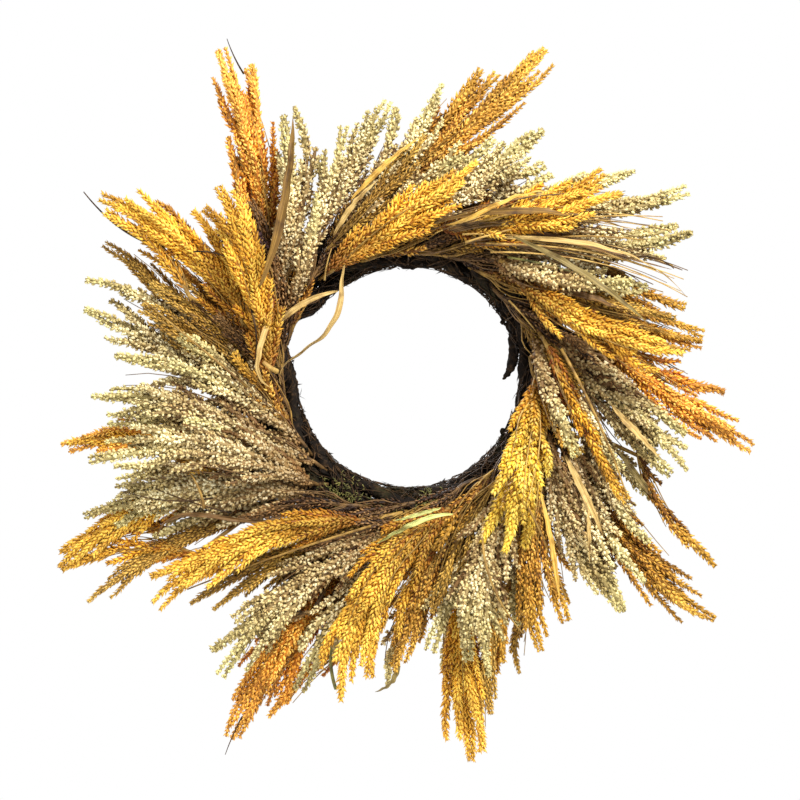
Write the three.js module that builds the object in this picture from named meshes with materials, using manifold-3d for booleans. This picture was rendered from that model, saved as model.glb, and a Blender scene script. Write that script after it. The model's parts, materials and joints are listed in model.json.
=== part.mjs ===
// Harvest door wreath, in millimetres, +Z up, front towards -Y.
// The origin is the hanging point: the inside top of the wire hanging loop.
import * as THREE from 'three';
import { mergeVertices } from 'three/addons/utils/BufferGeometryUtils.js';
import Module from 'manifold-3d';

const wasm = await Module();
wasm.setup();

// Driving dimensions
const RING_RADIUS = 120; // middle of the twisted bundle
const STRAND_RADIUS = 7.4;
const LAY_RADIUS = 18; // outer strands about the core
const OUTER_STRANDS = 6;
const TWISTS = 2; // whole turns of the lay in one lap of the ring
const STRAND_STEPS = 48;
const STRAND_SIDES = 7;
const STRAND_LUMPS = 3; // thicker and thinner stretches in a lap
const LUMP_SHARE = 0.05; // of the strand's radius
const DENT = { angle: 160, spread: 11, out: 15, squeeze: 2.6 }; // where the bundle bows out and is pinched
const BACK_PLANE = 23.8; // the strands are pared flat here, to lie on the door
const LOOP_HEIGHT = 45; // hinge axis to the inside top of the loop
const LOOP_OUTLINE = [[4, 0], [8, 3], [12, 14], [14, 26], [11, 37.2], [5, 44.7]]; // half width, height
const LOOP_WIRE = 1.2;
const BINDING_WIRE = 0.9;
const WIRE_RECESS = 0.2; // keeps the wires clear of the door
const WIRE_BITE = 1; // how deep the wires sink into the bark
const WRAP_ANGLES = [-150, -30, 30];
const WRAP_STEPS = 20;
const WRAP_SIDES = 6;
const EYE_ANGLE = 90;
const EYE_RADIUS = 4.2; // middle of the eye's wire
const EYE_STEPS = 12;
const EYE_BITE = 0.4; // the eye overlaps the wrap it is twisted from
const EYE_TILT = 40; // degrees from straight up towards the back
const LOOP_SIDES = 8;
const GAP = 0.35; // between neighbours that touch on the real wreath
const STEM_RADIUS = 1.6;
const STEM_CLEARANCE = 4; // between the bark and the stems tucked in behind
const SHOULDER_RISE = 14; // from the bundle's middle out to where front stems come over it
const FULLNESS = 1.18; // side branches stand out beyond a head's own width

const WIRE_REACH = LAY_RADIUS + STRAND_RADIUS - WIRE_BITE;
const eyeOut = WIRE_REACH + EYE_RADIUS - EYE_BITE;
const eyeY = eyeOut * Math.sin(THREE.MathUtils.degToRad(EYE_TILT));
const eyeRise = eyeOut * Math.cos(THREE.MathUtils.degToRad(EYE_TILT));
const hingeRise = EYE_RADIUS - BINDING_WIRE - LOOP_WIRE - GAP; // the loop bears under the eye's top
const RING_Z = -(LOOP_HEIGHT + RING_RADIUS + eyeRise + hingeRise); // middle of the ring
const OUTSIDE = RING_RADIUS + LAY_RADIUS + STRAND_RADIUS + STEM_CLEARANCE;
const SHOULDER = RING_RADIUS + SHOULDER_RISE;

// Finishes: colour, roughness, metalness
const FINISHES = {
  vine: [0x3a2d22, 0.9, 0],
  wire: [0x4a3a2a, 0.5, 0.8],
  cream: [0xdcd2a4, 0.85, 0],
  golden: [0xd8981e, 0.75, 0],
  yellow: [0xe6bb3a, 0.75, 0],
  orange: [0xdf8420, 0.8, 0],
  amber: [0xb06a22, 0.8, 0],
  bronze: [0x93803a, 0.8, 0],
  leaf: [0xb08a55, 0.8, 0],
};

// Each layer of heads: its place in the order of laying, the depth of the stem's start, of the head's
// middle and of its tip, and how far the head sweeps sideways, as a share of its reach
const LAYERS = {
  front: { rank: 0, start: -34, middle: -62, tip: -70, sweep: 0.34 },
  middle: { rank: 1, start: -30, middle: -42, tip: -40, sweep: 0.25 },
  back: { rank: 2, start: -2, middle: -12, tip: -14, sweep: 0.14 },
};
const HEAD_OUTLINE = [[0, 0], [0.1, 0], [0.24, 0.62], [0.45, 1], [0.7, 0.92], [0.88, 0.6], [1, 0.12]];
const HEAD_SIDES = 6;
const HEAD_THICKNESS = 0.34; // half thickness as a share of the width
const THICKEST_HEAD = 11;
const BLADE_OUTLINE = [[0, 0.3], [0.15, 0.75], [0.4, 1], [0.65, 0.85], [0.85, 0.5], [1, 0.12]];
const BLADE_THICKNESS = 0.9; // half
const BLADE_SIDES = 4;

// Seed heads, clockwise from the top. Angles are in degrees from +X, counter-clockwise from the front.
// name, finish, layer, base angle, base radius, tip angle, tip radius, width, shift in depth
const HEADS = [
  ['amber_head_1', 'amber', 'back', 105, OUTSIDE, 67, 309, 42, 0],
  ['cream_head_1', 'cream', 'middle', 120, SHOULDER, 83, 253, 32, 6],
  ['cream_head_2', 'cream', 'back', 128, OUTSIDE, 94, 240, 34, 0],
  ['cream_head_3', 'cream', 'middle', 96, SHOULDER, 62, 234, 42, -4],
  ['golden_head_1', 'golden', 'front', 126, 112, 71, 186, 38, 0],
  ['golden_head_2', 'golden', 'front', 78, 132, 40, 235, 38, -2],
  ['cream_head_4', 'cream', 'back', 74, OUTSIDE, 42, 266, 28, 0],
  ['cream_head_5', 'cream', 'back', 66, OUTSIDE, 33.5, 292, 30, -2],
  ['cream_head_6', 'cream', 'middle', 60, SHOULDER, 26, 272, 30, 0],
  ['cream_head_7', 'cream', 'front', 54, 126, 22, 204, 28, 6],
  ['amber_head_2', 'amber', 'middle', 48, SHOULDER, 6, 254, 30, 14],
  ['golden_head_3', 'golden', 'front', 40, 127, 4, 230, 40, -8],
  ['orange_head_1', 'orange', 'back', 22, OUTSIDE, -12, 306, 34, 0],
  ['cream_head_8', 'cream', 'back', 14, OUTSIDE, -19, 253, 28, -16],
  ['cream_head_9', 'cream', 'middle', 4, SHOULDER, -24, 200, 24, 0],
  ['cream_head_10', 'cream', 'front', 14, 112, -26, 157, 20, 2],
  ['yellow_head', 'yellow', 'front', -4, 108, -62, 168, 40, -4],
  ['cream_head_11', 'cream', 'back', -8, OUTSIDE, -39, 286, 26, 4],
  ['amber_head_3', 'amber', 'back', -25, OUTSIDE, -39, 340, 38, -4],
  ['cream_head_12', 'cream', 'middle', -24, SHOULDER, -48, 272, 32, 2],
  ['amber_head_4', 'amber', 'middle', -30, SHOULDER, -65, 262, 28, 6],
  ['cream_head_13', 'cream', 'front', -44, 132, -76, 262, 50, 2],
  ['bronze_head_1', 'bronze', 'back', -50, OUTSIDE, -77, 302, 24, 0],
  ['golden_head_4', 'golden', 'back', -64, OUTSIDE, -81, 338, 34, -6],
  ['amber_head_5', 'amber', 'back', -68, OUTSIDE, -94, 252, 26, 0],
  ['golden_head_5', 'golden', 'front', -74, 121, -103, 279, 42, -6],
  ['cream_head_14', 'cream', 'middle', -92, SHOULDER, -123, 303, 52, 0],
  ['orange_head_2', 'orange', 'back', -100, OUTSIDE, -116.5, 352, 46, 4],
  ['golden_head_6', 'golden', 'front', -109, 132, -138, 288, 34, 0],
  ['bronze_head_2', 'bronze', 'back', -134, OUTSIDE, -144.5, 341, 15, 0],
  ['golden_head_7', 'golden', 'back', -150, OUTSIDE, -151, 346, 26, -4],
  ['cream_head_15', 'cream', 'middle', -128, SHOULDER, -157, 304, 36, 4],
  ['cream_head_16', 'cream', 'front', -134, 126, -166, 278, 48, -4],
  ['orange_head_3', 'orange', 'back', -156, OUTSIDE, -169, 308, 28, 0],
  ['cream_head_17', 'cream', 'middle', -152, SHOULDER, -177, 272, 40, 2],
  ['cream_head_18', 'cream', 'back', -170, OUTSIDE, -192, 288, 42, -2],
  ['bronze_head_3', 'bronze', 'back', -178, OUTSIDE, -204, 289, 22, 0],
  ['golden_head_8', 'golden', 'middle', -194, SHOULDER, -210, 306, 34, 0],
  ['golden_head_9', 'golden', 'front', 177, 122, 134, 224, 40, -2],
  ['orange_head_4', 'orange', 'back', 146, OUTSIDE, 119.5, 328, 42, 0],
  ['cream_head_19', 'cream', 'middle', 150, SHOULDER, 115, 248, 34, 2],
  ['cream_head_20', 'cream', 'front', 148, 120, 116, 172, 24, 8],
  ['cream_head_21', 'cream', 'front', 138, 136, 104, 218, 26, 8],
];

// Leaf blades: start, middle and end as angle, radius and depth, then width and turns of twist
const LEAVES = [
  ['brown_leaf', [149, 146, -84], [127, 160, -112], [114, 236, -84], 11, 0.1],
  ['arched_leaf', [164, 124, -36], [146, 119, -60], [130, 94, -44], 7, 0.15],
  ['olive_leaf', [53, 145, -74], [31, 173, -112], [12, 204, -84], 9, 0.1],
  ['tan_leaf_1', [-27, 150, -60], [-33, 172, -96], [-40, 213, -72], 10, 0.15],
  ['tan_leaf_2', [-42, 147, -88], [-50, 187, -104], [-56, 225, -84], 8, 0.1],
];

const radians = THREE.MathUtils.degToRad;

// A point of the wreath from its angle and radius about the ring's middle, and its depth
function place(angle, radius, depth) {
  const a = radians(angle);
  return new THREE.Vector3(radius * Math.cos(a), depth, RING_Z + radius * Math.sin(a));
}

// A closed solid through rings of points, each with the same number of points
function skin(rings, closed) {
  const sides = rings[0].length;
  const positions = rings.flat().flatMap((p) => [p.x, p.y, p.z]);
  const index = [];
  const spans = closed ? rings.length : rings.length - 1;
  for (let i = 0; i < spans; i += 1) {
    const next = (i + 1) % rings.length;
    for (let j = 0; j < sides; j += 1) {
      const k = (j + 1) % sides;
      const [a, b] = [i * sides + j, i * sides + k];
      const [c, d] = [next * sides + k, next * sides + j];
      index.push(a, b, c, a, c, d);
    }
  }
  if (!closed) {
    const last = (rings.length - 1) * sides;
    for (let j = 1; j < sides - 1; j += 1) {
      index.push(0, j + 1, j, last, last + j, last + j + 1);
    }
  }
  const geometry = new THREE.BufferGeometry();
  geometry.setAttribute('position', new THREE.Float32BufferAttribute(positions, 3));
  geometry.setIndex(volume(positions, index) < 0 ? index.reverse() : index);
  return geometry;
}

function volume(positions, index) {
  const p = (i) => new THREE.Vector3().fromArray(positions, 3 * i);
  let sum = 0;
  for (let i = 0; i < index.length; i += 3) {
    sum += p(index[i]).dot(p(index[i + 1]).cross(p(index[i + 2])));
  }
  return sum / 6;
}

// One ring of points: an ellipse with its two half axes given as vectors
function ellipse(centre, across, through, sides) {
  return Array.from({ length: sides }, (_, i) => {
    const a = (2 * Math.PI * (i + 0.5)) / sides;
    return centre.clone()
      .addScaledVector(across, Math.cos(a))
      .addScaledVector(through, Math.sin(a));
  });
}

function toSolid(geometry) {
  const bare = geometry.clone();
  bare.deleteAttribute('normal');
  bare.deleteAttribute('uv');
  const merged = mergeVertices(bare, 1e-4);
  return new wasm.Manifold(new wasm.Mesh({
    numProp: 3,
    vertProperties: new Float32Array(merged.attributes.position.array),
    triVerts: new Uint32Array(merged.index.array),
  }));
}

function toGeometry(solid) {
  const mesh = solid.getMesh();
  const geometry = new THREE.BufferGeometry();
  geometry.setAttribute('position', new THREE.Float32BufferAttribute(mesh.vertProperties, 3));
  geometry.setIndex(Array.from(mesh.triVerts));
  return geometry;
}

// The largest separate body of a solid
function mainBody(solid) {
  return solid.decompose().sort((a, b) => b.volume() - a.volume())[0];
}

// Strand number 0 is the core; the others lie round it and make whole twists in a lap
function strand(number) {
  const rings = [];
  for (let i = 0; i < STRAND_STEPS; i += 1) {
    const lap = i / STRAND_STEPS;
    const angle = 360 * lap;
    const out = place(angle, 1, 0).sub(place(0, 0, 0));
    const back = new THREE.Vector3(0, 1, 0);
    const lay = 2 * Math.PI * (TWISTS * lap + number / OUTER_STRANDS);
    const dent = Math.exp(-(((angle - DENT.angle) / DENT.spread) ** 2));
    const reach = number === 0 ? 0 : LAY_RADIUS - DENT.squeeze * dent;
    const radius = RING_RADIUS + DENT.out * dent;
    const centre = place(angle, radius + reach * Math.cos(lay), reach * Math.sin(lay));
    const thick = STRAND_RADIUS * (1 - LUMP_SHARE * Math.cos(2 * Math.PI * STRAND_LUMPS * lap + number));
    rings.push(ellipse(centre, out.multiplyScalar(thick), back.multiplyScalar(thick), STRAND_SIDES));
  }
  return toSolid(skin(rings, true));
}

// The half of space behind the plane on which the strands are pared flat
function behindTheBack() {
  const box = new THREE.BoxGeometry(400, 40, 400);
  box.translate(0, BACK_PLANE + 20, RING_Z);
  return toSolid(box);
}

// A round wire along a closed row of points
function wireRing(points, radius, sides) {
  const rings = points.map((p, i) => {
    const before = points[(i + points.length - 1) % points.length];
    const after = points[(i + 1) % points.length];
    const along = after.clone().sub(before).normalize();
    const flat = p.clone().sub(middle(points));
    const through = new THREE.Vector3().crossVectors(along, flat).normalize();
    const across = new THREE.Vector3().crossVectors(through, along).normalize();
    return ellipse(p, across.multiplyScalar(radius), through.multiplyScalar(radius), sides);
  });
  return skin(rings, true);
}

function middle(points) {
  return points.reduce((sum, p) => sum.add(p), new THREE.Vector3()).divideScalar(points.length);
}

// One wrap of wire round the bundle at an angle of the ring
function wrap(angle, radius) {
  const points = Array.from({ length: WRAP_STEPS }, (_, i) => {
    const a = (2 * Math.PI * i) / WRAP_STEPS;
    const depth = (BACK_PLANE - BINDING_WIRE - WIRE_RECESS) * Math.sin(a);
    return place(angle, RING_RADIUS + WIRE_REACH * Math.cos(a), depth);
  });
  return toSolid(wireRing(points, radius, WRAP_SIDES));
}

function eye() {
  const points = Array.from({ length: EYE_STEPS }, (_, i) => {
    const a = (2 * Math.PI * i) / EYE_STEPS;
    return new THREE.Vector3(
      0,
      eyeY + EYE_RADIUS * Math.cos(a),
      RING_Z + RING_RADIUS + eyeRise + EYE_RADIUS * Math.sin(a),
    );
  });
  return toSolid(wireRing(points, BINDING_WIRE, WRAP_SIDES));
}

// The hanging loop: straight through the eye, widest above its middle, round at the top
function hangingLoop() {
  const base = -LOOP_HEIGHT;
  const side = LOOP_OUTLINE.map(([x, rise]) => [x, base + rise]);
  const otherSide = side.map(([x, z]) => [-x, z]).reverse();
  const outline = [[0, base], ...side, [0, LOOP_WIRE], ...otherSide];
  const points = outline.map(([x, z]) => new THREE.Vector3(x, eyeY, z));
  return toSolid(wireRing(points, LOOP_WIRE, LOOP_SIDES));
}

// A head of seeds on its stem: a flattened spindle along a curve that leaves the ring sideways
function head([, , layer, baseAngle, baseRadius, tipAngle, tipRadius, width, shift], grow) {
  const depth = LAYERS[layer];
  const base = place(baseAngle, baseRadius, depth.start + (layer === 'front' ? 0 : shift / 2));
  const tip = place(tipAngle, tipRadius, depth.tip + shift);
  const reach = base.distanceTo(tip);
  const sideways = place(baseAngle - 90, 1, 0).sub(place(0, 0, 0));
  const bend = base.clone().addScaledVector(sideways, depth.sweep * reach);
  bend.y = 2 * (depth.middle + shift) - (base.y + tip.y) / 2;
  const curve = new THREE.QuadraticBezierCurve3(base, bend, tip);
  const rings = HEAD_OUTLINE.map(([along, full]) => {
    const at = curve.getPoint(along);
    const tangent = curve.getTangent(along);
    const through = new THREE.Vector3(0, 1, 0).addScaledVector(tangent, -tangent.y).normalize();
    const across = new THREE.Vector3().crossVectors(tangent, through).normalize();
    const wide = Math.max(STEM_RADIUS, (full * FULLNESS * width) / 2) + grow;
    const thick = Math.max(STEM_RADIUS, full * Math.min(THICKEST_HEAD, HEAD_THICKNESS * width)) + grow;
    return ellipse(at, across.multiplyScalar(wide), through.multiplyScalar(thick), HEAD_SIDES);
  });
  return toSolid(skin(rings, false));
}

// A dried blade: a thin strip that bows forward and twists as it goes
function leaf([, start, centre, end, width, twist], grow) {
  const curve = new THREE.QuadraticBezierCurve3(place(...start), place(...centre), place(...end));
  const rings = BLADE_OUTLINE.map(([along, full]) => {
    const tangent = curve.getTangent(along);
    const level = new THREE.Vector3(0, 1, 0).addScaledVector(tangent, -tangent.y).normalize();
    level.applyAxisAngle(tangent, 2 * Math.PI * twist * along);
    const across = new THREE.Vector3().crossVectors(tangent, level).normalize();
    const wide = (full * width) / 2 + grow;
    level.multiplyScalar(BLADE_THICKNESS + grow);
    return ellipse(curve.getPoint(along), across.multiplyScalar(wide), level, BLADE_SIDES);
  });
  return toSolid(skin(rings, false));
}

const group = new THREE.Group();

function add(name, finish, solid) {
  const [colour, roughness, metalness] = FINISHES[finish];
  const material = new THREE.MeshStandardMaterial({ color: colour, roughness, metalness });
  material.name = finish;
  const mesh = new THREE.Mesh(toGeometry(solid), material);
  mesh.name = name;
  group.add(mesh);
}

const behind = behindTheBack();
const grooves = [...WRAP_ANGLES, EYE_ANGLE]
  .map((angle) => wrap(angle, BINDING_WIRE + GAP))
  .reduce((all, one) => all.add(one));

add('core_strand', 'vine', strand(0));
for (let number = 1; number <= OUTER_STRANDS; number += 1) {
  add(`outer_strand_${number}`, 'vine', mainBody(strand(number).subtract(behind).subtract(grooves)));
}
WRAP_ANGLES.forEach((angle, i) => add(`binding_wire_${i + 1}`, 'wire', wrap(angle, BINDING_WIRE)));
add('eye_wire', 'wire', wrap(EYE_ANGLE, BINDING_WIRE).add(eye()));
add('hanging_loop', 'wire', hangingLoop());

// Front pieces keep their whole shape, and those behind give way to them
const pieces = [
  ...LEAVES.map((spec) => ({ spec, finish: 'leaf', rank: -1, make: leaf })),
  ...HEADS.map((spec) => ({ spec, finish: spec[1], rank: LAYERS[spec[2]].rank, make: head })),
].sort((a, b) => a.rank - b.rank);

const laid = [];
for (const piece of pieces) {
  let solid = piece.make(piece.spec, 0);
  for (const before of laid) {
    if (solid.intersect(before).volume() > 0) {
      solid = mainBody(solid.subtract(before));
    }
  }
  laid.push(piece.make(piece.spec, GAP));
  add(piece.spec[0], piece.finish, solid);
}

export default group;
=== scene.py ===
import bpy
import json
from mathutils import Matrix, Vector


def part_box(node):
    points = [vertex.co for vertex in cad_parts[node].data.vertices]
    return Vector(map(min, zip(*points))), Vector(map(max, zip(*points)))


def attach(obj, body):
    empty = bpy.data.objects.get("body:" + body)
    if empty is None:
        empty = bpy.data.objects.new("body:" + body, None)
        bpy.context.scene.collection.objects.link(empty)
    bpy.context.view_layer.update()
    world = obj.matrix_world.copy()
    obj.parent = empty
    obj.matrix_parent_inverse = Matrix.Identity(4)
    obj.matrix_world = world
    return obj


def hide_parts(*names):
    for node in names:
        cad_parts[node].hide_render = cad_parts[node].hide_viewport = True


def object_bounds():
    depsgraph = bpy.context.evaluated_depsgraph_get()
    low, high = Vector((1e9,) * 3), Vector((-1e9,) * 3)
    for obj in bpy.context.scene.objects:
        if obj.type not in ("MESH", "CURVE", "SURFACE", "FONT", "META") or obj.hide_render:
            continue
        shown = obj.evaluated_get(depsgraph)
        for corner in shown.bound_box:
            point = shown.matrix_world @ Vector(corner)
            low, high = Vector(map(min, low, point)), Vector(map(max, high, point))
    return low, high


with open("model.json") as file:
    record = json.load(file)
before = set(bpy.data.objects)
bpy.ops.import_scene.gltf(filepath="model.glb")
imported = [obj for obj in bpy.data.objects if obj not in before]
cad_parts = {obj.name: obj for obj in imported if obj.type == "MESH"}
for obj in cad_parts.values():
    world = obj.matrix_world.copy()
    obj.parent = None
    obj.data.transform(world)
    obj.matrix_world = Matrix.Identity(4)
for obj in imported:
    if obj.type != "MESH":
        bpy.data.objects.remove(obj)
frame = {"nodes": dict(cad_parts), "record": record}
cadBox = [list(corner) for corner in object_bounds()]

import json
import math
import bpy
import numpy as np
from mathutils import Vector, noise

print("frame loaded")

# the ring's place and size come from its core strand
coreLow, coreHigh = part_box("core_strand")
coreThick = coreHigh.y - coreLow.y
ringZ = (coreLow.z + coreHigh.z) / 2
ringRadius = (coreHigh.z - coreLow.z - coreThick) / 2
ringX = coreHigh.x - coreThick / 2 - ringRadius
bundleRadius = -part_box("outer_strand_3")[0].y  # the strands are pared flat at the back only
backPlane = cadBox[1][1]  # the wreath lies flat on the door here
slotOf = {part["node"]: part["material_slot"] for part in frame["record"]["subparts"]}
anyTurn = (0, 6.3)  # a random turn, in radians
anyPhase = (0, 6)
toDoor = np.array([0.0, 1.0, 0.0])


def onRing(angle, radius, depth):
    turn = np.radians(np.asarray(angle, float))
    across, up = radius * np.cos(turn), radius * np.sin(turn)
    return np.stack([ringX + across, depth + 0 * turn, ringZ + up], axis=-1)


def unit(v):
    return v / (np.linalg.norm(v, axis=-1, keepdims=True) + 1e-12)


def ease(s):
    s = np.clip(s, 0, 1)
    return s * s * (3 - 2 * s)


def draw(rng, look, *keys):
    return [rng.uniform(*look[key]) for key in keys]


def wave(rng, s, slow, fast):
    return np.sin(s * rng.uniform(slow, fast) + rng.uniform(*anyPhase))


def deselectAll():
    bpy.ops.object.select_all(action="DESELECT")


def selectOnly(obj):
    deselectAll()
    obj.select_set(True)
    bpy.context.view_layer.objects.active = obj


# colours are given as a painter's red, green and blue up to 255
def paint(*colour):
    linear = [((c / 255 + 0.055) / 1.055) ** 2.4 if c > 10 else c / 3294 for c in colour]
    return (*linear, 1)


# each input is set, or linked where it is given another node's output
def fillInputs(tree, node, inputs):
    for key, value in inputs.items():
        if isinstance(value, bpy.types.NodeSocket):
            tree.links.new(value, node.inputs[key])
        else:
            node.inputs[key].default_value = value


def addNode(tree, kind, inputs, **settings):
    node = tree.nodes.new("ShaderNode" + kind)
    for key, value in settings.items():
        setattr(node, key, value)
    fillInputs(tree, node, inputs)
    return node


def newMaterial(name):
    material = bpy.data.materials.new(name)
    material.use_nodes = True
    return material, material.node_tree


def surface(tree, colour, roughness, specular=0.3, **more):
    fillInputs(tree, tree.nodes["Principled BSDF"], {
        "Base Color": colour, "Roughness": roughness, "Specular IOR Level": specular, **more})


def ramp(tree, value, *stops):
    node = addNode(tree, "ValToRGB", {"Fac": value})
    points = node.color_ramp.elements
    while len(points) < len(stops):
        points.new(0.5)
    for point, (place, colour) in zip(points, stops):
        point.position = place
        point.color = paint(*colour)
    return node.outputs["Color"]


def speckle(tree, scale, detail, roughness=0.5, where=None):
    if where is None:
        where = addNode(tree, "TexCoord", {}).outputs["Object"]
    inputs = {"Vector": where, "Scale": scale, "Detail": detail, "Roughness": roughness}
    return addNode(tree, "TexNoise", inputs).outputs["Fac"]


def bump(tree, height, strength, distance):
    inputs = {"Height": height, "Strength": strength, "Distance": distance}
    return addNode(tree, "Bump", inputs).outputs["Normal"]


def mixColour(tree, factor, first, second, blend="MIX"):
    inputs = {"Factor": factor, "A": first, "B": second}
    return addNode(tree, "Mix", inputs, data_type="RGBA", blend_type=blend).outputs["Result"]


# root: by the ring; deep: painted shade between the seeds and on the fingers behind; body;
# light: painted light on the outermost, front seeds; tip: the far end; patch: odd seeds
seedColours = {
    "cream_seed": ((138, 100, 54), (104, 72, 34), (224, 202, 140), (252, 241, 198),
                   (222, 218, 146), (220, 178, 108)),
    "golden_seed": ((124, 62, 16), (128, 64, 8), (236, 172, 42), (255, 218, 94), (248, 206, 88),
                    (216, 132, 30)),
    "yellow_seed": ((166, 94, 18), (140, 82, 8), (246, 202, 54), (255, 236, 130), (252, 224, 96),
                    (240, 172, 34)),
    "orange_seed": ((112, 54, 16), (140, 68, 10), (246, 166, 46), (255, 212, 104),
                    (252, 204, 98), (230, 126, 26)),
    "amber_seed": ((82, 46, 18), (96, 54, 12), (202, 142, 44), (238, 192, 92), (242, 196, 76),
                   (154, 92, 26)),
    "bronze_seed": ((72, 48, 20), (80, 56, 18), (182, 136, 46), (226, 184, 90), (222, 184, 90),
                    (136, 92, 32)),
    "brown_seed": ((44, 28, 18), (38, 24, 14), (112, 76, 40), (172, 132, 82), (160, 120, 66),
                   (80, 38, 22)),
    "plum_seed": ((40, 24, 28), (26, 16, 20), (66, 40, 46), (112, 84, 84), (66, 44, 48),
                  (48, 26, 38)),
}


def seedMaterial(name, root, deep, body, light, tip, patch):
    material, tree = newMaterial(name)
    # in the grain, red is painted shade mixed with random tone, green how far along the head, blue
    # chance
    grain = addNode(tree, "Attribute", {}, attribute_name="grain")
    parts = addNode(tree, "SeparateColor", {"Color": grain.outputs["Color"]}).outputs

    def layer(channel, below, colour, *stops):
        amount = ramp(tree, parts[channel], *((place, [grey] * 3) for place, grey in stops))
        return mixColour(tree, amount, below, paint(*colour))

    # the red ramp paints shade: deep on inner seeds and fingers behind, light on the outer front
    # ones
    base = ramp(tree, parts["Red"], (0.0, deep), (0.4, body), (0.95, light))
    patched = layer("Blue", base, patch, (0.0, 0), (0.7, 0), (1.0, 200))
    tipped = layer("Green", patched, tip, (0.0, 0), (0.55, 0), (1.0, 190))
    rooted = layer("Green", tipped, root, (0.0, 240), (0.2, 190), (0.48, 0))
    cloud = speckle(tree, scale=38, detail=3)
    shade = ramp(tree, cloud, (0.35, (206, 196, 182)), (0.6, (255, 255, 255)))
    surface(tree, mixColour(tree, 1.0, rooted, shade, "MULTIPLY"), 0.6)
    return material


def strawMaterial(name, dark, light, specular=0.3):
    material, tree = newMaterial(name)
    streaks = speckle(tree, scale=120, detail=4)
    surface(tree, ramp(tree, streaks, (0.3, dark), (0.7, light)), 0.6, specular)
    return material


def barkMaterial():
    material, tree = newMaterial("vineBark")
    coarse = speckle(tree, scale=210, detail=8, roughness=0.7)
    colour = ramp(tree, coarse, (0.3, (8, 6, 5)), (0.52, (26, 19, 13)), (0.68, (62, 46, 30)),
                  (0.86, (108, 88, 60)))
    patches = speckle(tree, scale=30, detail=5)
    mossy = ramp(tree, patches, (0.55, (0, 0, 0)), (0.68, (120, 120, 120)))
    grown = mixColour(tree, mossy, colour, paint(78, 74, 34))
    surface(tree, grown, 0.9, 0.15, Normal=bump(tree, coarse, strength=0.9, distance=0.0012))
    return material


def leafMaterial(name, dark, body, light):
    material, tree = newMaterial(name)
    flat = addNode(tree, "UVMap", {}, uv_map="UVMap").outputs["UV"]
    lengthways = addNode(tree, "Mapping", {"Vector": flat, "Scale": (2.2, 11, 1)})
    veins = speckle(tree, scale=1, detail=5, where=lengthways.outputs["Vector"])
    colour = ramp(tree, veins, (0.3, dark), (0.5, body), (0.72, light))
    blotch = speckle(tree, scale=70, detail=4)
    spots = ramp(tree, blotch, (0.5, (255, 255, 255)), (0.7, (156, 138, 110)))
    spotted = mixColour(tree, 1.0, colour, spots, "MULTIPLY")
    surface(tree, spotted, 0.6, Normal=bump(tree, veins, strength=0.5, distance=0.0005))
    return material


def wireMaterial():
    material, tree = newMaterial("enamelledWire")
    worn = speckle(tree, scale=260, detail=4)
    colour = ramp(tree, worn, (0.4, (52, 38, 26)), (0.7, (92, 72, 50)))
    dulled = addNode(tree, "MapRange", {"Value": worn, "To Min": 0.3, "To Max": 0.6})
    surface(tree, colour, dulled.outputs["Result"], 0.5, Metallic=0.6)
    return material


seedMaterials = {slot: seedMaterial(slot + "_grain", *seedColours[slot]) for slot in seedColours}
strawLight = strawMaterial("paleStraw", (140, 104, 48), (206, 172, 96))
strawDark = strawMaterial("amberStraw", (92, 64, 24), (172, 136, 66))
strawBrown = strawMaterial("brownStraw", (50, 35, 18), (124, 92, 50))
bark = barkMaterial()
rootlet = strawMaterial("rootletBark", (14, 10, 7), (82, 60, 38), 0.1)
moss = strawMaterial("driedMoss", (58, 58, 26), (128, 122, 62))
wire = wireMaterial()
leafLooks = {
    "tan": leafMaterial("tanLeaf", (120, 90, 42), (186, 154, 90), (224, 198, 136)),
    "brown": leafMaterial("brownLeaf", (66, 44, 16), (116, 84, 32), (168, 132, 66)),
    "olive": leafMaterial("oliveLeaf", (78, 66, 32), (120, 102, 54), (166, 142, 88)),
    "green": leafMaterial("paleGreenLeaf", (130, 132, 62), (186, 188, 108), (224, 224, 164)),
    "golden": leafMaterial("goldenLeaf", (142, 98, 28), (204, 160, 68), (236, 204, 120)),
    "rust": leafMaterial("rustLeaf", (62, 42, 20), (104, 74, 36), (150, 114, 62)),
}
print("materials made")

# a seed is a four-sided cone with its foot drawn down to a point: length of the cone, and how
# far its foot is drawn in
seedShapes = {"bead": {"top": 0.62, "foot": 0.34}, "husk": {"top": 0.64, "foot": 0.3}}


def makeSeed(shape):
    top = shape["top"]
    deselectAll()
    bpy.ops.mesh.primitive_cone_add(vertices=4, radius1=0.5, radius2=0.0, depth=top,
                                    location=(0, 0, 0.5 - top / 2))
    obj = bpy.context.object
    bpy.ops.object.transform_apply(location=True)
    bpy.ops.object.mode_set(mode="EDIT")
    bpy.ops.mesh.select_mode(type="FACE")
    bpy.ops.mesh.select_all(action="DESELECT")
    bpy.ops.object.mode_set(mode="OBJECT")
    for polygon in obj.data.polygons:
        polygon.select = polygon.normal.z < -0.9
    bpy.ops.object.mode_set(mode="EDIT")
    bpy.ops.mesh.extrude_region_move(TRANSFORM_OT_translate={"value": (0, 0, top - 1)})
    bpy.ops.transform.resize(value=(shape["foot"], shape["foot"], 1),
                             center_override=(0, 0, -0.5))
    bpy.ops.mesh.merge(type="CENTER")
    bpy.ops.mesh.select_all(action="SELECT")
    bpy.ops.mesh.normals_make_consistent(inside=False)
    bpy.ops.mesh.quads_convert_to_tris()
    bpy.ops.object.mode_set(mode="OBJECT")
    points = np.array([v.co for v in obj.data.vertices], float)
    faces = np.array([list(p.vertices) for p in obj.data.polygons], int)
    bpy.data.objects.remove(obj)
    return points, faces


seedMeshes = {name: makeSeed(shape) for name, shape in seedShapes.items()}
print("seeds modelled:", {name: len(faces) for name, (points, faces) in seedMeshes.items()})

plainGrain = (0.5, 0.5, 0.5)


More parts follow.
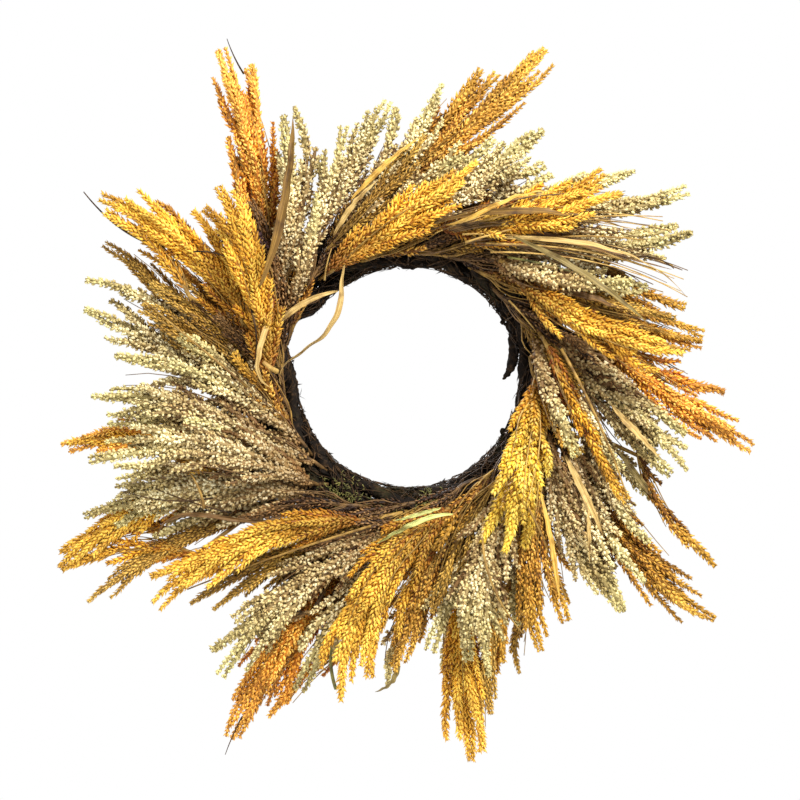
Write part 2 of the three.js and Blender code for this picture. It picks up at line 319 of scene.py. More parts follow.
# many small shapes gathered into one piece
class Pile:
    def __init__(self):
        self.points, self.faces, self.slots, self.grain, self.count = [], [], [], [], 0

    def add(self, points, faces, slot=0, grain=plainGrain):
        self.points.append(points)
        self.faces.append(faces + self.count)
        self.slots.append(np.full(len(faces), slot))
        self.grain.append(np.broadcast_to(grain, (len(points), 3)))
        self.count += len(points)

    def piece(self, name, materials, slot):
        points, faces = np.concatenate(self.points), np.concatenate(self.faces)
        count = len(faces)
        mesh = bpy.data.meshes.new(name)
        mesh.vertices.add(len(points))
        mesh.vertices.foreach_set("co", points.astype(np.float32).ravel())
        mesh.loops.add(faces.size)
        mesh.loops.foreach_set("vertex_index", faces.astype(np.int32).ravel())
        mesh.polygons.add(count)
        mesh.polygons.foreach_set("loop_start", np.arange(0, faces.size, 3, dtype=np.int32))
        mesh.polygons.foreach_set("material_index", np.concatenate(self.slots).astype(np.int32))
        mesh.polygons.foreach_set("use_smooth", np.ones(count, bool))
        for material in materials:
            mesh.materials.append(material)
        grain = mesh.attributes.new("grain", "FLOAT_COLOR", "POINT")
        rgba = np.concatenate([np.concatenate(self.grain), np.ones((len(points), 1))], axis=1)
        grain.data.foreach_set("color", rgba.astype(np.float32).ravel())
        mesh.update(calc_edges=True)
        mesh.validate()
        obj = bpy.data.objects.new(name, mesh)
        bpy.context.scene.collection.objects.link(obj)
        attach(obj, "wreath")
        return obj


def tube(points, radii, sides):
    points = np.asarray(points, float)
    ahead = unit(np.gradient(points, axis=0))
    first = unit(np.cross(ahead[0], (0.3, 0.9, 0.2)))
    turn = np.arange(sides) * 2 * np.pi / sides
    cos, sin = np.cos(turn)[:, None], np.sin(turn)[:, None]
    rings = []
    for centre, forward, radius in zip(points, ahead, np.broadcast_to(radii, len(points))):
        first = unit(first - forward * np.dot(first, forward))
        second = np.cross(forward, first)
        rings.append(centre + radius * (cos * first + sin * second))
    last = (len(points) - 1) * sides
    faces = []
    for row in range(0, last, sides):
        for j in range(sides):
            k = (j + 1) % sides
            a, b, c, d = row + j, row + k, row + sides + k, row + sides + j
            faces += [(a, b, c), (a, c, d)]
    for j in range(1, sides - 1):
        faces += [(0, j + 1, j), (last, last + j, last + j + 1)]
    return np.concatenate(rings), np.array(faces)


# copies of one mesh, each with its own axes, sizes and place
def copies(shape, axes, sizes, places):
    points, faces = seedMeshes[shape]
    axes = np.stack(axes, axis=2)
    moved = np.einsum("nij,nkj->nki", axes, points[None] * sizes[:, None]) + places[:, None]
    index = faces[None] + (np.arange(len(places)) * len(points))[:, None, None]
    return moved.reshape(-1, 3), index.reshape(-1, 3)


def scatter(shape, places, directions, lengths, widths, rolls):
    forward = unit(directions)
    helper = np.where(np.abs(forward[:, 2:]) < 0.9, (0.0, 0.0, 1.0), (1.0, 0.0, 0.0))
    first = unit(np.cross(helper, forward))
    second = np.cross(forward, first)
    cos, sin = np.cos(rolls)[:, None], np.sin(rolls)[:, None]
    axes = (first * cos + second * sin, second * cos - first * sin, forward)
    return copies(shape, axes, np.stack([widths, widths, lengths], axis=1), places)


# the middle line of a head or a leaf, read from its CAD solid
def readLine(node):
    mesh = frame["nodes"][node].data
    mesh.calc_loop_triangles()
    points = np.array([v.co for v in mesh.vertices], float)
    corners = points[np.array([t.vertices[:] for t in mesh.loop_triangles])]
    edges = corners[:, 1:] - corners[:, :1]
    areas = np.linalg.norm(np.cross(edges[:, 0], edges[:, 1]), axis=1)
    middles = corners.mean(axis=1)
    fromCentre = points - np.array([ringX, 0, ringZ])
    tip = points[np.argmax(np.hypot(fromCentre[:, 0], fromCentre[:, 2]))]
    base = points[np.argmax(np.linalg.norm(points - tip, axis=1))]
    chord = tip - base
    t = np.clip((middles - base) @ chord / (chord @ chord), 0, 1)
    hump = (t * (1 - t))[:, None]
    weight = areas[:, None] * hump
    bend = (weight * (middles - base - t[:, None] * chord)).sum(0) / (weight * hump).sum(0)
    off = points - base
    share = np.clip(off @ chord / (chord @ chord), 0, 1)[:, None]
    side = off - share * chord - share * (1 - share) * bend
    side -= (side @ unit(chord))[:, None] * unit(chord)
    wide, deep = np.hypot(side[:, 0], side[:, 2]).max(), np.abs(side[:, 1]).max()
    return {"base": base, "chord": chord, "bend": bend, "wide": float(wide), "deep": float(deep)}


def along(line, t):
    t = np.asarray(t, float)[..., None]
    return line["base"] + t * line["chord"] + t * (1 - t) * line["bend"]


def crossAxes(forward):
    through = unit(toDoor - forward * forward[..., 1:2])
    return np.cross(forward, through), through


# seed: its shape; length and width of a seed; tilt: how far it leans out, in degrees;
# fingers: side branches for each square decimetre; span: a finger's length in the head's length;
# reach: its radius with seeds; whorl: how far apart the whorls of seeds stand;
# tufts: how many to a whorl; seeds: how many to a tuft; bare: the share of a finger with none;
# straws: bare ones lying along the head
kindColumns = ("seed", "length", "width", "tilt", "fingers", "span", "reach",
               "whorl", "tufts", "seeds", "bare", "straws", "straw")
kindRows = {
    "cream_seed": ("bead", 0.0041, 0.0030, 48, 43, 0.27, 0.0044, 0.0049, 3, 3, 0.03, 5, strawBrown),
    "golden_seed": ("husk", 0.0072, 0.0027, 34, 44, 0.30, 0.0034, 0.0029, 4, 1, 0.06, 8, strawDark),
    "yellow_seed": ("husk", 0.008, 0.0032, 36, 44, 0.28, 0.0034, 0.0031, 4, 1, 0.04, 6, strawLight),
    "orange_seed": ("husk", 0.0052, 0.0023, 40, 34, 0.36, 0.0040, 0.0036, 3, 2, 0.08, 8, strawDark),
    "amber_seed": ("husk", 0.0052, 0.0022, 36, 36, 0.34, 0.0038, 0.0036, 3, 2, 0.08, 9, strawDark),
    "bronze_seed": ("husk", 0.0056, 0.0019, 24, 36, 0.38, 0.0032, 0.0033, 4, 1, 0.06, 9, strawDark),
    "brown_seed": ("husk", 0.0050, 0.0020, 30, 34, 0.38, 0.0034, 0.0036, 4, 1, 0.06, 8, strawBrown),
}
headKinds = {slot: dict(zip(kindColumns, row)) for slot, row in kindRows.items()}
# how wide a head is along its length
outlineStops = ([0, 0.1, 0.24, 0.45, 0.7, 0.88, 1.0], [0.5, 0.7, 0.92, 1.0, 0.98, 0.8, 0.5])
# wider, room: from the solid's width and depth to where the fingers lie; stem and straw: thick at
# the foot and the tip; below, tuck: where the stem goes into the bark; start, stretch: where
# along the head the fingers leave it; core: the finger itself, of its reach
headLook = {
    "wider": 1.12, "room": (0.4, 0.6), "least": 0.003, "fingers": (7, 46), "sway": 0.0024,
    "stem": (0.0019, 0.0008), "stemEnd": 0.6, "below": 0.014, "tuck": 0.8,
    "straw": (0.0008, 0.0003), "strawStart": (-0.04, 0.1), "strawEnd": (0.45, 0.85),
    "strawShare": (0.3, 0.9), "start": -0.03, "stretch": 0.68, "length": (0.8, 1.2),
    "share": (0.25, 1.1), "spiral": 2.39996, "jitter": 0.3, "leaders": 2, "leaderShare": 0.25,
    "core": 0.5, "stout": (0.85, 1.12), "taper": 0.55,
}
seedLook = {"along": 0.22, "turnInTuft": 0.3, "turnAlone": 0.16, "outInTuft": 0.45, "outAlone": 0.7,
            "tilt": 8, "size": (0.8, 1.2), "taper": 0.3}
# out, front: painted shade, darker for seeds near the finger's middle and for fingers behind; head,
# finger, clump, seed: random tone
shadeLook = {"base": 0.1, "out": 0.5, "front": 0.36, "head": 0.08, "finger": 0.08,
             "clump": 0.11, "seed": 0.07}


def makeHead(name, slot, line, seed, fullness=1.0):
    look, kind = headLook, headKinds[slot]
    rng = np.random.default_rng(seed)
    pile = Pile()
    reach = kind["reach"]
    size = float(np.linalg.norm(line["chord"]))
    wide = max(line["wide"] * look["wider"] - reach * look["room"][0], look["least"])
    deep = max(line["deep"] - reach * look["room"][1], look["least"])
    wanted = fullness * kind["fingers"] * 2 * (wide + reach) * size * 100
    count = int(np.clip(wanted, *look["fingers"]))
    tone = rng.uniform(-shadeLook["head"], shadeLook["head"])
    addStem(pile, line)

    def lay(start, end, share, turn, s, spread):
        t = start + (end - start) * s
        across, through = crossAxes(unit(line["chord"] + (1 - 2 * t[:, None]) * line["bend"]))
        outline = np.interp(t, *outlineStops) * spread
        sway = look["sway"] * wave(rng, s, 2, 6) * s
        u = wide * share * math.cos(turn) * outline + sway
        v = deep * share * math.sin(turn) * outline + sway * rng.uniform(-1, 1)
        return along(line, t) + u[:, None] * across + v[:, None] * through

    s = np.linspace(0, 1, 8)
    for i in range(kind["straws"]):
        place = draw(rng, look, "strawStart", "strawEnd", "strawShare")
        straw = lay(*place, rng.uniform(*anyTurn), s, ease(s / 0.5 + 0.2))
        pile.add(*tube(straw, np.linspace(*look["straw"], len(s)), 4), 1, (0.5, 0.4, 0.3))
    s = np.linspace(0, 1, 10)
    for i in range(count):
        start = look["start"] + look["stretch"] * (i + rng.uniform(0, 1)) / count
        end = min(1.0, start + kind["span"] * rng.uniform(*look["length"]))
        share = rng.uniform(*look["share"])
        turn = i * look["spiral"] + rng.uniform(-look["jitter"], look["jitter"])
        if i >= count - look["leaders"]:
            end, share = 1.0, look["leaderShare"]
        finger = lay(start, end, share, turn, s, 0.06 + 0.94 * s ** 0.75)
        body = reach * (0.35 + 0.65 * ease(s / 0.2)) * (1 - look["taper"] * s ** 3)
        body = body * rng.uniform(*look["stout"])
        front = -share * math.sin(turn)  # the fingers behind are painted darker: painted shade
        # the finger's core takes the deep colour, painted shade between its seeds, a little lighter
        # on front fingers
        shade = (max(0, 0.05 + 0.1 * front), (start + end) / 2, 0.2)
        pile.add(*tube(finger, look["core"] * body, 5), 0, shade)
        addSeeds(pile, kind, rng, s, finger, body, (start, end), front, tone)
    head = pile.piece(name, [seedMaterials[slot], kind["straw"]],
                      slot if slot in slotOf.values() else "bronze_seed")
    return len(head.data.polygons), head


# the stem comes out of the bark below the head's foot
def addStem(pile, line):
    below = line["base"] - headLook["below"] * unit(line["chord"] + line["bend"])
    angle = math.degrees(math.atan2(below[2] - ringZ, below[0] - ringX))
    core = onRing(angle, ringRadius, 0)
    foot = core + headLook["tuck"] * bundleRadius * unit(below - core)
    stem = np.concatenate([[foot], along(line, np.linspace(0, headLook["stemEnd"], 9))])
    pile.add(*tube(stem, np.linspace(*headLook["stem"], len(stem)), 6), 1, (0.5, 0.2, 0.3))


# whorls of tufts of seeds round one finger
def addSeeds(pile, kind, rng, s, finger, body, span, front, tone):
    start, end = span
    seeds, tufts, bare = kind["seeds"], kind["tufts"], kind["bare"]
    turnSpread = seedLook["turnInTuft"] if seeds > 1 else seedLook["turnAlone"]
    least = seedLook["outInTuft"] if seeds > 1 else seedLook["outAlone"]
    length = float(np.linalg.norm(np.diff(finger, axis=0), axis=1).sum()) * (1 - bare)
    whorls = max(3, int(length / kind["whorl"]))
    each = tufts * seeds
    number = whorls * each
    order = np.arange(number)
    whorl, tuft = order // each, (order % each) // seeds
    places = (whorl + rng.normal(0.5, seedLook["along"], number)) / whorls
    at = bare + (1 - bare) * np.clip(places, 0, 1)
    middle = np.stack([np.interp(at, s, finger[:, k]) for k in range(3)], axis=1)
    slope = np.stack([np.interp(at, s, np.gradient(finger[:, k])) for k in range(3)], axis=1)
    ahead = unit(slope)
    first = unit(np.cross(ahead, unit(rng.normal(size=3))))
    second = np.cross(ahead, first)
    angle = 2 * np.pi * (tuft + 0.5 * whorl) / tufts + 0.11 * whorl
    angle = angle + rng.normal(0, turnSpread, number)
    outward = np.cos(angle)[:, None] * first + np.sin(angle)[:, None] * second
    out = rng.uniform(least, 1.0, number)
    tilt = np.radians(kind["tilt"] + rng.normal(0, seedLook["tilt"], number))
    direction = np.cos(tilt)[:, None] * ahead + np.sin(tilt)[:, None] * outward
    scale = rng.uniform(*seedLook["size"], number) * (1 - seedLook["taper"] * at ** 4)
    spot = middle + outward * (np.interp(at, s, body) * out)[:, None]
    points, faces = scatter(kind["seed"], spot, direction, kind["length"] * scale,
                            kind["width"] * scale, rng.uniform(*anyTurn, number))
    clump = rng.normal(0, shadeLook["clump"], whorls * tufts)[whorl * tufts + tuft]
    # painted shade: inner seeds and fingers behind are darker; tone, clump and the noise add random
    # tone
    shade = shadeLook["base"] + shadeLook["out"] * out ** 2 + shadeLook["front"] * front + tone
    shade = shade + rng.normal(0, shadeLook["finger"]) + clump
    shade = shade + rng.normal(0, shadeLook["seed"], number)
    odd = 0.5 * rng.random() + 0.5 * rng.random(number)
    grain = [np.clip(shade, 0, 1), np.clip(start + (end - start) * at, 0, 1), odd]
    grain = np.repeat(np.stack(grain, axis=1), len(seedMeshes[kind["seed"]][0]), axis=0)
    pile.add(points, faces, 0, grain)


heads = sorted(node for node in frame["nodes"] if "head" in node)
triangles = 0
for number, node in enumerate(heads):
    made, head = makeHead(node + "_seeds", slotOf[node], readLine(node), 100 + number)
    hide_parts(node)
    triangles += made
print("heads made:", len(heads), "triangles:", triangles)

# sprigs that fill the gaps behind and between the heads: kind, then angle and radius (mm)
# of the base and of the tip, width (mm), depth (mm) at base and tip
# the brown sprigs, low by the heads' feet, are a dark seed kind that also stands in for the shade
# there
fillers = [
    ("bronze", 186, 118, 160, 236, 46, 24, 34), ("golden", 162, 126, 141, 226, 34, 34, 46),
    ("amber", 172, 140, 154, 258, 30, 20, 26), ("bronze", -168, 122, 166, 240, 42, 26, 30),
    ("brown", 136, 118, 102, 172, 40, 30, 34), ("bronze", 122, 130, 86, 206, 34, 36, 50),
    ("cream", 108, 132, 76, 196, 40, 36, 50), ("brown", 150, 136, 132, 206, 30, 20, 24),
    ("cream", 100, 140, 70, 218, 46, 28, 36), ("amber", 98, 176, 77, 276, 30, 14, 18),
    ("cream", 82, 160, 61, 246, 30, 8, 10), ("cream", 70, 152, 49, 236, 30, 10, 14),
    ("golden", 72, 136, 46, 240, 34, 38, 54), ("bronze", 66, 130, 30, 226, 40, 30, 36),
    ("cream", 44, 136, 20, 218, 28, 42, 50), ("brown", 52, 124, 14, 206, 42, 26, 30),
    ("orange", 34, 150, 6, 256, 36, 20, 24), ("brown", 30, 124, -6, 190, 40, 26, 34),
    ("cream", 16, 130, -12, 222, 34, 30, 40), ("golden", 14, 120, -30, 214, 18, 52, 58),
    ("cream", 4, 146, -20, 244, 34, 22, 26), ("brown", -2, 126, -38, 206, 36, 28, 34),
    ("cream", -6, 150, -27, 250, 26, 10, 10), ("orange", 6, 200, -3, 276, 34, 14, 16),
    ("cream", -26, 150, -48, 232, 34, 30, 40), ("amber", -19, 212, -31.5, 314, 20, 14, 20),
    ("brown", -30, 126, -58, 196, 40, 24, 30), ("amber", -38, 150, -57, 252, 34, 24, 34),
    ("cream", -46, 136, -86, 236, 44, 32, 44), ("cream", -44, 150, -66, 236, 30, 20, 26),
    ("bronze", -50, 118, -84, 204, 34, 34, 46), ("amber", -64, 128, -92, 256, 40, 26, 34),
    ("golden", -72, 130, -106, 232, 40, 30, 40), ("cream", -84, 180, -83, 262, 30, 8, 8),
    ("cream", -88, 136, -109, 288, 44, 24, 30), ("bronze", -96, 120, -130, 262, 34, 30, 36),
    ("brown", -84, 124, -122, 176, 36, 34, 40), ("golden", -140, 240, -151, 344, 24, 14, 18),
    ("cream", -132, 124, -153, 284, 40, 24, 28), ("brown", -112, 120, -140, 190, 36, 36, 40),
    ("cream", -146, 124, -172, 262, 44, 30, 36), ("golden", -156, 190, -169, 302, 30, 14, 18),
    ("cream", -162, 124, -184, 254, 50, 28, 32), ("cream", -112, 150, -120, 262, 40, 12, 14),
    ("cream", 178, 150, 163, 292, 28, 20, 24), ("bronze", -56, 200, -70, 276, 22, 10, 12),
    ("cream", -86, 190, -94, 272, 26, 8, 8), ("bronze", -112, 160, -134, 272, 20, 22, 28),
    ("brown", -128, 150, -150, 262, 40, 10, 12), ("cream", -140, 150, -160, 270, 40, 8, 10),
    ("yellow", -8, 112, -66, 156, 24, 40, 62), ("yellow", -4, 116, -56, 176, 26, 36, 58),
    ("cream", 62, 128, 30, 232, 28, 36, 46), ("bronze", 50, 128, 12, 232, 30, 44, 56),
    ("cream", -148, 108, 176, 204, 40, 24, 50), ("cream", -158, 110, 170, 200, 36, 22, 44),
    ("cream", -138, 110, -168, 196, 34, 24, 52), ("brown", -170, 116, 160, 200, 36, 20, 34),
    ("golden", -88, 150, -97, 262, 26, 30, 34), ("cream", 76, 150, 54, 214, 30, 20, 26),
    ("cream", 50, 170, 29, 268, 22, 20, 24), ("amber", 36, 170, 8, 258, 24, 22, 28),
    ("cream", 4, 160, -15, 250, 24, 16, 20), ("cream", -24, 160, -46, 262, 26, 24, 28),
    ("golden", -124, 160, -139, 262, 24, 16, 18), ("cream", 122, 150, 112, 206, 24, 24, 30),
    ("cream", -16, 160, -35, 252, 30, 30, 36), ("cream", -130, 150, -148, 262, 30, 14, 18),
    ("cream", -30, 150, -47, 256, 24, 32, 38), ("cream", -66, 150, -78, 250, 26, 34, 44),
    ("cream", -22, 150, -41, 270, 34, 36, 40),
    ("cream", -140, 160, -163, 268, 24, 12, 14), ("golden", -146, 240, -153.5, 340, 18, 12, 14),
    ("golden", -130, 200, -142, 284, 18, 14, 18), ("orange", -100, 230, -112, 322, 20, 10, 10),
    ("cream", -112, 220, -126, 292, 18, 24, 26), ("orange", 142, 190, 127, 262, 22, 10, 12),
    ("orange", 128, 240, 116.5, 305, 16, 10, 12), ("golden", 162, 150, 142, 232, 26, 40, 46),
    ("golden", 160, 200, 151.5, 296, 18, 40, 42), ("cream", 126, 160, 112.5, 250, 20, 40, 48),
    ("cream", 108, 150, 92.5, 232, 18, 28, 34), ("amber", 88, 210, 73.5, 276, 18, 12, 12),
    ("cream", 74, 170, 57, 220, 20, 12, 14), ("cream", 46, 210, 33.5, 286, 18, 14, 14),
    ("amber", 32, 190, 14, 248, 22, 20, 24), ("cream", 6, 170, -11.5, 246, 22, 24, 26),
    ("cream", -34, 200, -47.5, 276, 18, 30, 30), ("golden", -80, 150, -93, 226, 22, 30, 34),
    ("golden", -70, 240, -79, 334, 16, 10, 12), ("amber", -58, 190, -72, 262, 18, 16, 20),
]
# short sprigs over the front of the ring, in mm and degrees, left out where the vines show
skirtLook = {
    "kinds": ("bronze", "brown", "amber", "brown"), "step": 13, "base": (105, 111),
    "tip": (146, 172), "sweep": (24, 34), "width": 30, "depth": (23, 42),
    "bare": ((-142, -92), (112, 158)),
}
sprigLook = {"bow": 0.4, "fullness": 0.6, "deepest": 0.011}


def plannedLine(baseAngle, baseRadius, tipAngle, tipRadius, width, baseDepth, tipDepth):
    base = onRing(baseAngle, baseRadius / 1000, -baseDepth / 1000)
    chord = onRing(tipAngle, tipRadius / 1000, -tipDepth / 1000) - base
    turn = np.sign((tipAngle - baseAngle + 180) % 360 - 180)
    sideways = onRing(baseAngle + 90 * turn, 1, 0) - onRing(0, 0, 0)
    bend = sideways * np.linalg.norm(chord) - chord * float(sideways @ unit(chord))
    return {"base": base, "chord": chord, "bend": sprigLook["bow"] * bend,
            "wide": width / 2000, "deep": min(sprigLook["deepest"], width / 3000)}


for number, (kind, *plan) in enumerate(fillers):
    made, head = makeHead(f"filling_{kind}_{number + 1}", kind + "_seed", plannedLine(*plan),
                          500 + number, sprigLook["fullness"])
    triangles += made
print("fillers made:", len(fillers), "triangles so far:", triangles)

rng = np.random.default_rng(61)
for number, angle in enumerate(range(-180, 180, skirtLook["step"])):
    sweep, baseRadius, tipRadius = draw(rng, skirtLook, "sweep", "base", "tip")
    if any(low < angle < high for low, high in skirtLook["bare"]):
        continue
    kind = skirtLook["kinds"][number % len(skirtLook["kinds"])]
    line = plannedLine(angle, baseRadius, angle - sweep, tipRadius, skirtLook["width"],
                       *skirtLook["depth"])
    made, head = makeHead(f"skirt_{kind}_{number + 1}", kind + "_seed", line, 700 + number)
    triangles += made
print("triangles with the skirts:", triangles)


def copyOfNode(node, name):
    obj = bpy.data.objects.new(name, frame["nodes"][node].data.copy())
    bpy.context.scene.collection.objects.link(obj)
    obj.data.materials.clear()
    selectOnly(obj)
    bpy.ops.object.mode_set(mode="EDIT")
    bpy.ops.mesh.select_all(action="SELECT")
    bpy.ops.mesh.remove_doubles(threshold=0.00002)
    bpy.ops.object.mode_set(mode="OBJECT")
    return obj


def smoothed(obj, levels):
    finer = obj.modifiers.new("finer", "SUBSURF")
    finer.levels = levels
    finer.render_levels = levels
    bpy.ops.object.modifier_apply(modifier=finer.name)
    bpy.ops.object.shade_smooth()


# rough, grain, fine: the bark; swell, lumps: thick and thin stretches; trim: how far the side of
# the hole is pared; core: how much thicker the inner strand is than its solid
strandLook = {"levels": 2, "rough": 0.0021, "grain": 160, "fine": 430, "fineShare": 0.6,
              "swell": 0.003, "lumps": 48, "trim": 0.0022, "core": 0.003}


def makeStrand(node, seed):
    obj = copyOfNode(node, node + "_bark")
    smoothed(obj, strandLook["levels"])
    shift = Vector((seed * 3.1, 0, 0))
    moved = []
    for vertex in obj.data.vertices:
        place, normal = vertex.co, vertex.normal
        lift = noise.noise(place * strandLook["grain"] + shift)
        lift += strandLook["fineShare"] * noise.noise(place * strandLook["fine"] + shift)
        swell = strandLook["swell"] * noise.noise(place * strandLook["lumps"] + shift)
        outward = Vector((place.x - ringX, 0, place.z - ringZ)).normalized()
        swell -= strandLook["trim"] * max(0, -normal.dot(outward)) ** 2
        swell += strandLook["core"] * (node == "core_strand")
        place = place + normal * (lift * strandLook["rough"] + swell)
        place.y = min(place.y, backPlane)
        moved.extend(place)
    obj.data.vertices.foreach_set("co", moved)
    obj.data.update()
    obj.data.materials.append(bark)
    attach(obj, "wreath")
    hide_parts(node)


for number, node in enumerate(sorted(n for n in frame["nodes"] if "strand" in n)):
    makeStrand(node, number)
print("strands made")

trimInside = 0.0026  # the bark is tidier on the side of the hole
# the ring bows out and narrows here
dentLook = {"angle": 160, "spread": 11, "out": 0.015, "squeeze": 0.0026}


def onBundle(angle, lap, reach):
    dent = np.exp(-((np.asarray(angle) % 360 - dentLook["angle"]) / dentLook["spread"]) ** 2)
    less = dentLook["squeeze"] * dent + trimInside * np.maximum(0, -np.cos(lap))
    reach = reach * (1 - less / bundleRadius)
    radius = ringRadius + dentLook["out"] * dent + reach * np.cos(lap)
    return onRing(angle, radius, reach * np.sin(lap))


def offDoor(points):
    points[..., 1] = np.minimum(points[..., 1], backPlane)
    return points


# span: degrees of the ring that one runs along; slope, wander: how it winds round the bundle
rootletLook = {"count": 620, "span": (8, 42), "step": 3.5, "lay": 2, "slope": 1.8, "wander": 0.18,
               "lift": 0.0020, "hump": 0.0014, "inside": 0.7, "sink": 0.001, "ends": 0.003,
               "thick": (0.00028, 0.0009)}


def makeRootlets():
    look = rootletLook
    rng = np.random.default_rng(7)
    pile = Pile()
    for i in range(look["count"]):
        span = rng.uniform(*look["span"])
        s = np.linspace(0, 1, max(5, int(span / look["step"])))
        angle = rng.uniform(0, 360) + span * s
        slope = rng.normal(1, look["slope"])
        lap = rng.uniform(*anyTurn) + look["lay"] * np.radians(span) * s * slope
        lap = lap + look["wander"] * wave(rng, s, 4, 12)
        lift = rng.uniform(0, look["lift"]) + look["hump"] * wave(rng, s, 3, 11)
        lift = lift * (1 + look["inside"] * np.minimum(0, np.cos(lap)))
        lift = lift - look["sink"]
        ends = np.where((s == 0) | (s == 1), -look["ends"], 0)
        points = offDoor(onBundle(angle, lap, bundleRadius + lift + ends))
        thick = rng.uniform(*look["thick"]) * (1 - 0.5 * s)
        pile.add(*tube(points, thick, 4))
    return pile


makeRootlets().piece("rootlets", [rootlet], "vine_bark")

# short broken ends that stand off the vines
splinterLook = {"count": 1300, "length": (0.002, 0.008), "thick": (0.0004, 0.0010),
                "sink": 0.0015, "lean": (0.1, 0.9), "stray": 0.6, "inside": 0.55, "bow": 0.25}


def makeSplinters():
    look = splinterLook
    rng = np.random.default_rng(13)
    pile = Pile()
    count = look["count"]
    angle, lap = rng.uniform(0, 360, count), rng.uniform(*anyTurn, count)
    foot = onBundle(angle, lap, bundleRadius - look["sink"])
    outward = unit(foot - onBundle(angle, lap, 0))
    lean = outward * rng.uniform(*look["lean"], (count, 1))
    direction = unit(lean + rng.normal(0, look["stray"], (count, 3)))
    for i in range(count):
        shorter = 1 + look["inside"] * min(0, math.cos(lap[i]))
        length = rng.uniform(*look["length"]) * shorter
        bow = look["bow"] * length * rng.normal(size=3)
        end = length * direction[i]
        points = offDoor(np.stack([foot[i], foot[i] + 0.5 * end + 0.4 * bow, foot[i] + end]))
        thick = rng.uniform(*look["thick"])
        pile.add(*tube(points, [thick, 0.7 * thick, 0.1 * thick], 3))
    return pile


makeSplinters().piece("splinters", [rootlet], "vine_bark")

flakeLook = {"count": 900, "length": (0.004, 0.013), "width": (0.0015, 0.005), "thick": 0.0005,
             "lift": 0.0012, "stray": 0.35, "rise": (0.12, 0.22)}


def makeFlakes():
    rng = np.random.default_rng(11)
    count = flakeLook["count"]
    angle = rng.uniform(0, 360, count)
    lap = rng.uniform(*anyTurn, count)
    reach = bundleRadius + rng.uniform(-flakeLook["lift"], flakeLook["lift"], count)
    place = offDoor(onBundle(angle, lap, reach))
    outward = unit(place - onBundle(angle, lap, reach * 0))
    forward = unit(onRing(angle + 1, ringRadius, 0) - onRing(angle, ringRadius, 0))
    forward = forward + rng.normal(0, flakeLook["stray"], (count, 3))
    forward = unit(forward + outward * rng.normal(*flakeLook["rise"], (count, 1)))
    side = unit(np.cross(outward, forward))
    width, thick = rng.uniform(*flakeLook["width"], count), np.full(count, flakeLook["thick"])
    sizes = np.stack([width, thick, rng.uniform(*flakeLook["length"], count)], axis=1)
    axes = (side, np.cross(forward, side), forward)
    points, faces = copies("bead", axes, sizes, place)
    pile = Pile()
    pile.add(offDoor(points), faces)
    return pile


makeFlakes().piece("bark_flakes", [bark], "vine_bark")

# a loose sliver of bark that points into the hole: angle, radius, depth and half thickness (mm)
spurPath = [(24, 101, 4, 4), (16, 97, 2, 5), (9, 93.5, 0, 4.6), (4, 90, 0, 3.4), (0, 86, -1, 2),
            (-2, 83.5, -2, 0.6)]
spurLook = {"sides": 9, "levels": 2, "grain": 260, "rough": 0.0016,
            "shifts": ((0, 0, 0), (31, 0, 0), (0, 47, 0))}
pile = Pile()
middle = [onRing(angle, radius / 1000, depth / 1000) for angle, radius, depth, thick in spurPath]
pile.add(*tube(middle, [thick / 1000 for *place, thick in spurPath], spurLook["sides"]))
spur = pile.piece("bark_spur", [bark], "vine_bark")
selectOnly(spur)
smoothed(spur, spurLook["levels"])
for vertex in spur.data.vertices:
    place = vertex.co * spurLook["grain"]
    push = [noise.noise(place + Vector(shift)) for shift in spurLook["shifts"]]
    vertex.co += Vector(push) * spurLook["rough"]
print("rootlets and flakes made")

# the wires keep their CAD shape, rounded, and the wraps follow the bark in on the hole's side
for node in ("binding_wire_1", "binding_wire_2", "binding_wire_3", "eye_wire", "hanging_loop"):
    obj = copyOfNode(node, node + "_round")
    smoothed(obj, 2)
    if node != "hanging_loop":
        for vertex in obj.data.vertices:
            outward = Vector((vertex.co.x - ringX, 0, vertex.co.z - ringZ))
            inside = min(0, (outward.length - ringRadius) / bundleRadius)
            vertex.co += outward.normalized() * strandLook["trim"] * inside ** 2
    obj.data.materials.append(wire)
    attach(obj, "loop" if node == "hanging_loop" else "wreath")
    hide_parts(node)
print("wires made")

# the dried blades, each a folded and twisted strip
bladeLook = {"steps": 32, "ribs": 6, "thick": 0.00035, "fold": 0.35, "ripple": 0.0012,
             "ripples": 34, "curl": 0.3}
# how wide a blade is along its length
bladeStops = ([0, 0.06, 0.3, 0.6, 0.85, 1], [0.25, 0.45, 0.95, 1, 0.6, 0.03])
leafKinds = {  # look, width against the solid's, twist in degrees
    "brown_leaf": ("brown", 1.8, 50), "arched_leaf": ("tan", 1.7, 70),
    "olive_leaf": ("olive", 1.5, 60), "tan_leaf_1": ("tan", 1.7, 50),
    "tan_leaf_2": ("golden", 1.6, 40),
}
